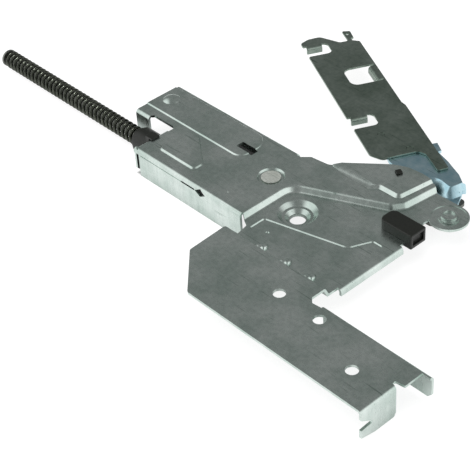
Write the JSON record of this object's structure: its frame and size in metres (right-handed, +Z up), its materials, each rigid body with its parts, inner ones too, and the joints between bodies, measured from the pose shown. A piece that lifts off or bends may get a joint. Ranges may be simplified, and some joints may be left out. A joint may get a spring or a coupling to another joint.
{
  "type": "dishwasher door hinge",
  "caption": "Stamped steel door hinge with a long coil spring, a pivoting arm with a slotted door plate and a fixing foot with screw holes.",
  "frame": {"origin": "midway between the foot's two screw holes, on the foot's upper face", "axes": "+X along the spring from its free end towards the foot's end tab, +Y from the foot towards the pivot and the arm, +Z up out of the foot's upper face"},
  "size_m": [0.4037, 0.2411, 0.0213],
  "materials": {
    "galvanised_sheet": "galvanised",
    "dark_plate": "dark zinc",
    "blue_zinc": "blue zinc plating",
    "rivet_steel": "bright zinc",
    "spring_steel": "plain spring steel",
    "black_steel": "oiled black",
    "black_plastic": "moulded"
  },
  "bodies": {
    "frame": {"frame_plate": "galvanised_sheet", "pivot_rivet": "rivet_steel", "guide_rivet": "rivet_steel", "guide_bush": "rivet_steel", "guide_washer": "rivet_steel", "spring_bush": "black_plastic", "spring_collar": "spring_steel", "coil_spring": "black_steel", "stop_buffer": "black_plastic", "stop_peg": "black_plastic"},
    "arm": {"hinge_lever": "blue_zinc", "door_plate": "dark_plate", "plate_rivets": "rivet_steel", "pivot_washer": "rivet_steel", "crank_pin": "rivet_steel", "crank_clip": "spring_steel"},
    "slide": {"pull_plate": "galvanised_sheet", "pull_rod": "rivet_steel", "rod_rivet": "rivet_steel", "spring_washer": "rivet_steel"}
  },
  "joints": [
    {"name": "arm_hinge", "type": "hinge", "parent": "frame", "child": "arm", "pos_m": [0.0027, 0.1107, -0.0085], "axis": [0, 0, 1], "range_deg": [-153, 0]},
    {"name": "spring_slide", "type": "slide", "parent": "frame", "child": "slide", "axis": [1, 0, 0], "range_m": [0, 0.03407], "deforming": ["coil_spring"]}
  ],
  "couplings": [
    {"joint": "spring_slide", "follows": "arm_hinge", "m_per_rad": -0.01272}
  ]
}
